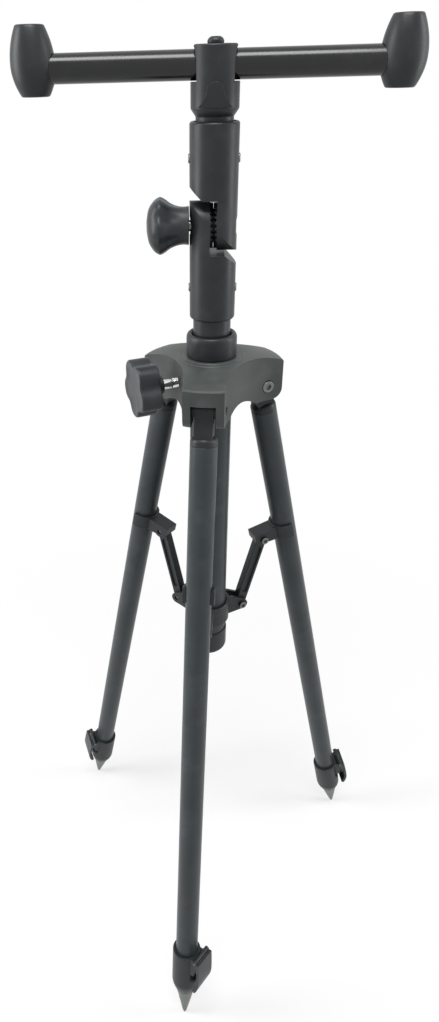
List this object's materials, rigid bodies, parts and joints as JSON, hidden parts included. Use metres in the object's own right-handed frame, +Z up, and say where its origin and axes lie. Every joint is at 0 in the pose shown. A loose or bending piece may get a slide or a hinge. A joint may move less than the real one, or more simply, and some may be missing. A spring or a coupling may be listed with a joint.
{
  "type": "rod tripod",
  "caption": "Fishing rod tripod with telescopic spiked legs, flip-lever locks, a sliding centre column, a toothed tilt joint and a crossbar with threaded end sockets.",
  "frame": {"origin": "centre of the bounding box's bottom, on the ground under the spikes", "axes": "+Z up along the centre column, -Y towards the front leg, +X towards the right end of the crossbar as seen from the front"},
  "size_m": [0.3602, 0.299, 0.8839],
  "materials": {
    "black_plastic": "moulded glass-filled nylon, fine texture",
    "hub_plastic": "moulded, satin grey-black",
    "leg_alloy": "dark grey anodised, satin",
    "inner_alloy": "dark grey anodised, satin",
    "gloss_alloy": "black anodised, polished",
    "dark_steel": "black nickel plated",
    "chrome": "bright",
    "brass": "turned",
    "nylon": "plain white nylon"
  },
  "bodies": {
    "hub": {"hub_casting": "hub_plastic", "guide_tube": "leg_alloy", "guide_collar": "black_plastic", "guide_end_cap": "black_plastic", "clamp_pad": "nylon", "leg_pivot_bolt_1": "dark_steel", "leg_pivot_bolt_2": "dark_steel", "leg_pivot_bolt_3": "dark_steel"},
    "hub_knob": {"hub_knob": "black_plastic", "hub_knob_stud": "chrome"},
    "spreader": {"spreader_collar": "black_plastic", "spreader_bolt_1": "dark_steel", "spreader_bolt_2": "dark_steel", "spreader_bolt_3": "dark_steel"},
    "column_foot": {"column_stop_bush": "nylon"},
    "column": {"column_tube": "leg_alloy", "lower_knuckle": "black_plastic", "lower_cross_pin": "dark_steel"},
    "tilt_knob": {"tilt_knob": "black_plastic", "tilt_knob_insert": "brass"},
    "head": {"upper_knuckle": "black_plastic", "upper_cross_pin": "dark_steel", "tilt_bolt": "dark_steel", "crossbar_head": "black_plastic", "crossbar_screw": "black_plastic", "crossbar_tube": "gloss_alloy", "bar_end_left": "black_plastic", "bar_end_right": "black_plastic", "socket_insert_left": "brass", "socket_insert_right": "brass"},
    "leg_1": {"leg_1_top_fitting": "black_plastic", "leg_1_tube": "leg_alloy", "leg_1_clip": "black_plastic", "leg_1_clip_bolt": "dark_steel", "lock_collar_1": "black_plastic", "lock_pin_1": "dark_steel"},
    "lock_lever_1": {"lock_lever_1": "black_plastic"},
    "inner_leg_1": {"inner_leg_1": "inner_alloy", "foot_spike_1": "dark_steel"},
    "strut_1": {"strut_1": "black_plastic"},
    "leg_2": {"leg_2_top_fitting": "black_plastic", "leg_2_tube": "leg_alloy", "leg_2_clip": "black_plastic", "leg_2_clip_bolt": "dark_steel", "lock_collar_2": "black_plastic", "lock_pin_2": "dark_steel"},
    "lock_lever_2": {"lock_lever_2": "black_plastic"},
    "inner_leg_2": {"inner_leg_2": "inner_alloy", "foot_spike_2": "dark_steel"},
    "strut_2": {"strut_2": "black_plastic"},
    "leg_3": {"leg_3_top_fitting": "black_plastic", "leg_3_tube": "leg_alloy", "leg_3_clip": "black_plastic", "leg_3_clip_bolt": "dark_steel", "lock_collar_3": "black_plastic", "lock_pin_3": "dark_steel"},
    "lock_lever_3": {"lock_lever_3": "black_plastic"},
    "inner_leg_3": {"inner_leg_3": "inner_alloy", "foot_spike_3": "dark_steel"},
    "strut_3": {"strut_3": "black_plastic"}
  },
  "joints": [
    {"name": "leg_1_fold", "type": "hinge", "parent": "hub", "child": "leg_1", "pos_m": [-0.00025, 0.00235, 0.63175], "axis": [1, 0, 0], "range_deg": [0, 8.36]},
    {"name": "inner_leg_1_slide", "type": "slide", "parent": "leg_1", "child": "inner_leg_1", "axis": [0, -0.2226, -0.9749], "range_m": [-0.024, 0.42]},
    {"name": "lock_lever_1_flip", "type": "hinge", "parent": "leg_1", "child": "lock_lever_1", "pos_m": [0.01476, -0.12918, 0.09147], "axis": [-0.4695, -0.8608, 0.1965], "range_deg": [0, 95]},
    {"name": "strut_1_turn", "type": "hinge", "parent": "leg_1", "child": "strut_1", "pos_m": [-0.00025, -0.0084, 0.47008], "axis": [1, 0, 0], "range_deg": [-26.58, 0]},
    {"name": "leg_2_fold", "type": "hinge", "parent": "hub", "child": "leg_2", "pos_m": [0.03768, 0.06805, 0.63175], "axis": [-0.5, 0.866, 0], "range_deg": [0, 8.36]},
    {"name": "inner_leg_2_slide", "type": "slide", "parent": "leg_2", "child": "inner_leg_2", "axis": [0.1928, 0.1113, -0.9749], "range_m": [-0.024, 0.42]},
    {"name": "lock_lever_2_flip", "type": "hinge", "parent": "leg_2", "child": "lock_lever_2", "pos_m": [0.16091, 0.13412, 0.09335], "axis": [0.2644, -0.9627, -0.0576], "range_deg": [0, 95]},
    {"name": "strut_2_turn", "type": "hinge", "parent": "leg_2", "child": "strut_2", "pos_m": [0.04699, 0.07342, 0.47008], "axis": [-0.5, 0.866, 0], "range_deg": [-26.58, 0]},
    {"name": "leg_3_fold", "type": "hinge", "parent": "hub", "child": "leg_3", "pos_m": [-0.03818, 0.06805, 0.63175], "axis": [-0.5, -0.866, 0], "range_deg": [0, 8.36]},
    {"name": "inner_leg_3_slide", "type": "slide", "parent": "leg_3", "child": "inner_leg_3", "axis": [-0.1928, 0.1113, -0.9749], "range_m": [-0.024, 0.42]},
    {"name": "lock_lever_3_flip", "type": "hinge", "parent": "leg_3", "child": "lock_lever_3", "pos_m": [-0.15989, 0.12131, 0.09158], "axis": [-0.4812, 0.8552, 0.1928], "range_deg": [0, 95]},
    {"name": "strut_3_turn", "type": "hinge", "parent": "leg_3", "child": "strut_3", "pos_m": [-0.04749, 0.07342, 0.47008], "axis": [-0.5, -0.866, 0], "range_deg": [-26.58, 0]},
    {"name": "spreader_slide", "type": "slide", "parent": "hub", "child": "spreader", "axis": [0, 0, 1], "range_m": [-0.00266, 0]},
    {"name": "column_height", "type": "slide", "parent": "hub", "child": "column_foot", "axis": [0, 0, 1], "range_m": [-0.011, 0.19]},
    {"name": "column_turn", "type": "hinge", "parent": "column_foot", "child": "column", "pos_m": [-0.00025, 0.04615, 0.75875], "axis": [0, 0, 1], "continuous": true},
    {"name": "crossbar_tilt", "type": "hinge", "parent": "column", "child": "head", "pos_m": [-0.00025, 0.04615, 0.75875], "axis": [0.9938, 0.1115, 0], "range_deg": [-90, 90]},
    {"name": "tilt_knob_turn", "type": "hinge", "parent": "column", "child": "tilt_knob", "pos_m": [-0.00025, 0.04615, 0.75875], "axis": [-0.9938, -0.1115, 0], "range_deg": [0, 360]},
    {"name": "hub_knob_turn", "type": "hinge", "parent": "hub", "child": "hub_knob", "pos_m": [-0.00025, 0.04615, 0.64175], "axis": [-0.866, -0.5, 0], "range_deg": [0, 540]}
  ],
  "couplings": [
    {"joint": "strut_1_turn", "follows": "leg_1_fold", "ratio": -3.1738},
    {"joint": "leg_2_fold", "follows": "leg_1_fold", "ratio": 1},
    {"joint": "strut_2_turn", "follows": "leg_1_fold", "ratio": -3.1738},
    {"joint": "leg_3_fold", "follows": "leg_1_fold", "ratio": 1},
    {"joint": "strut_3_turn", "follows": "leg_1_fold", "ratio": -3.1738},
    {"joint": "spreader_slide", "follows": "leg_1_fold", "m_per_rad": -0.018103}
  ]
}
